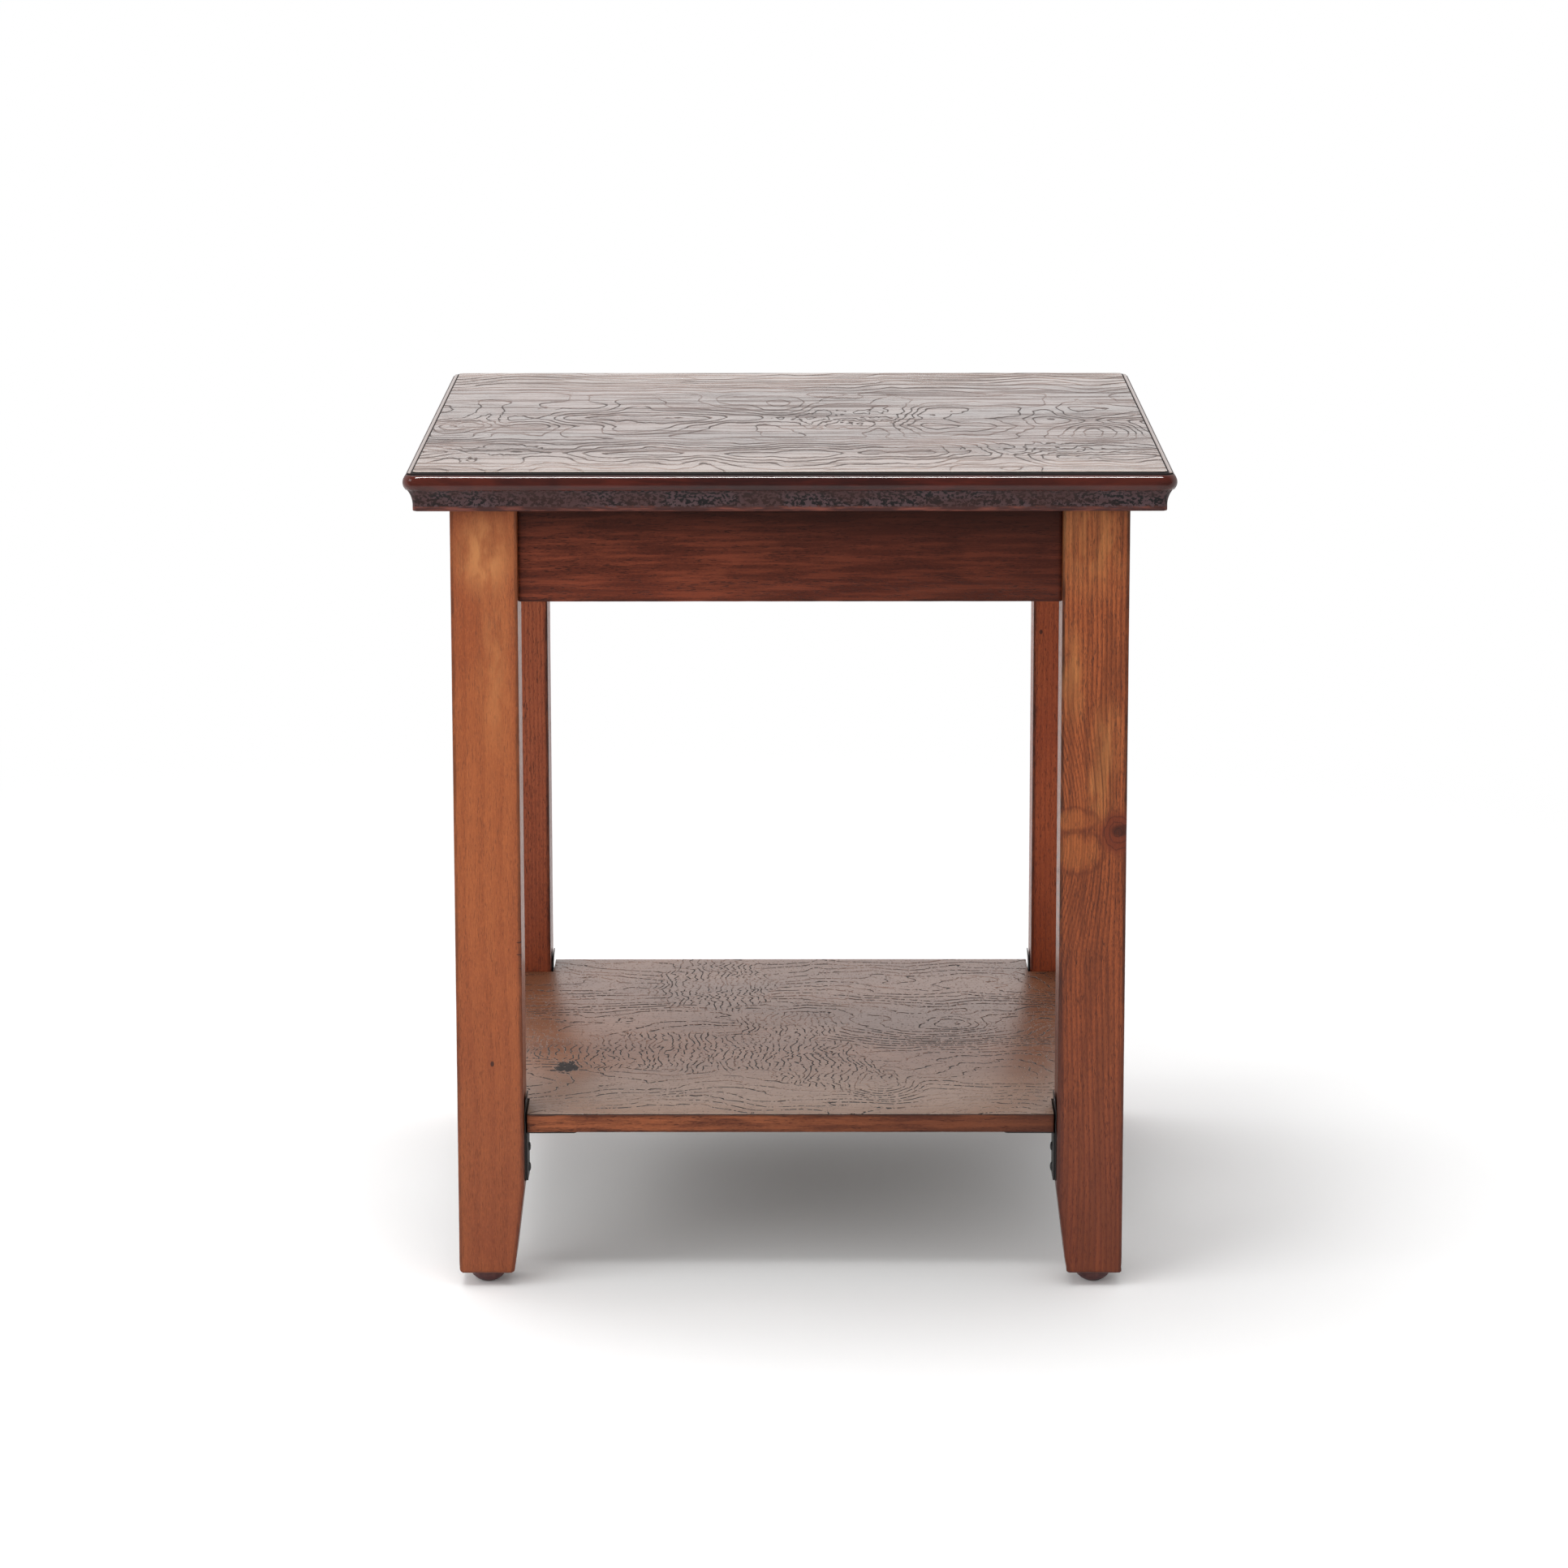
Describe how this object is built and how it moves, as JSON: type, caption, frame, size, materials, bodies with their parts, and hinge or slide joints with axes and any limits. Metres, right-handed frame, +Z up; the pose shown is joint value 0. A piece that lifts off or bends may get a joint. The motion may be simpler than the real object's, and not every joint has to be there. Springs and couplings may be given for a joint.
{
  "type": "end table with shelf",
  "caption": "Square wooden end table with a moulded top, tapered legs, deep aprons and a lower shelf that lifts off steel brackets.",
  "frame": {"origin": "on the floor, under the middle of the table", "axes": "+Z up, +X to the right as seen from the front, the front faces -Y"},
  "size_m": [0.508, 0.508, 0.564],
  "materials": {
    "top_board": "stained, satin lacquer",
    "top_veneer": "stained, satin lacquer",
    "leg_front_left": "stained, satin lacquer",
    "leg_front_right": "stained, satin lacquer",
    "leg_rear_left": "stained, satin lacquer",
    "leg_rear_right": "stained, satin lacquer",
    "apron_front": "stained, satin lacquer",
    "apron_rear": "stained, satin lacquer",
    "apron_left": "stained, satin lacquer",
    "apron_right": "stained, satin lacquer",
    "dowel_wood": "bare",
    "block_wood": "bare",
    "shelf_core": "bare",
    "shelf_veneer": "stained, satin lacquer",
    "shelf_edge_front": "stained, satin lacquer",
    "shelf_edge_rear": "stained, satin lacquer",
    "shelf_edge_left": "stained, satin lacquer",
    "shelf_edge_right": "stained, satin lacquer",
    "wood_screws": "zinc plated",
    "plated_steel": "zinc plated",
    "glide_plastic": "smooth",
    "bracket_steel": "black, satin",
    "leaf_steel": "black oxide",
    "bracket_screws": "black oxide"
  },
  "bodies": {
    "frame": {"top_board": "top_board", "top_veneer": "top_veneer", "leg_front_left": "leg_front_left", "leg_front_right": "leg_front_right", "leg_rear_left": "leg_rear_left", "leg_rear_right": "leg_rear_right", "apron_front": "apron_front", "apron_rear": "apron_rear", "apron_left": "apron_left", "apron_right": "apron_right", "apron_dowels": "dowel_wood", "corner_block_front_left": "block_wood", "corner_block_front_right": "block_wood", "corner_block_rear_left": "block_wood", "corner_block_rear_right": "block_wood", "block_screws": "wood_screws", "top_screws": "wood_screws", "hanger_bolts": "plated_steel", "hanger_washers": "plated_steel", "hanger_nuts": "plated_steel", "foot_glide_front_left": "glide_plastic", "foot_glide_front_right": "glide_plastic", "foot_glide_rear_left": "glide_plastic", "foot_glide_rear_right": "glide_plastic", "glide_nails": "plated_steel", "shelf_bracket_front_left": "bracket_steel", "shelf_bracket_front_right": "bracket_steel", "shelf_bracket_rear_left": "bracket_steel", "shelf_bracket_rear_right": "bracket_steel", "spring_leaf_front_left": "leaf_steel", "spring_leaf_front_right": "leaf_steel", "spring_leaf_rear_left": "leaf_steel", "spring_leaf_rear_right": "leaf_steel", "bracket_screws": "bracket_screws"},
    "shelf": {"shelf_board": "shelf_core", "shelf_veneer": "shelf_veneer", "shelf_edge_front": "shelf_edge_front", "shelf_edge_rear": "shelf_edge_rear", "shelf_edge_left": "shelf_edge_left", "shelf_edge_right": "shelf_edge_right"}
  },
  "joints": [
    {"name": "shelf_lift", "type": "slide", "parent": "frame", "child": "shelf", "axis": [0, 0, 1], "range_m": [0, 0.05]}
  ]
}
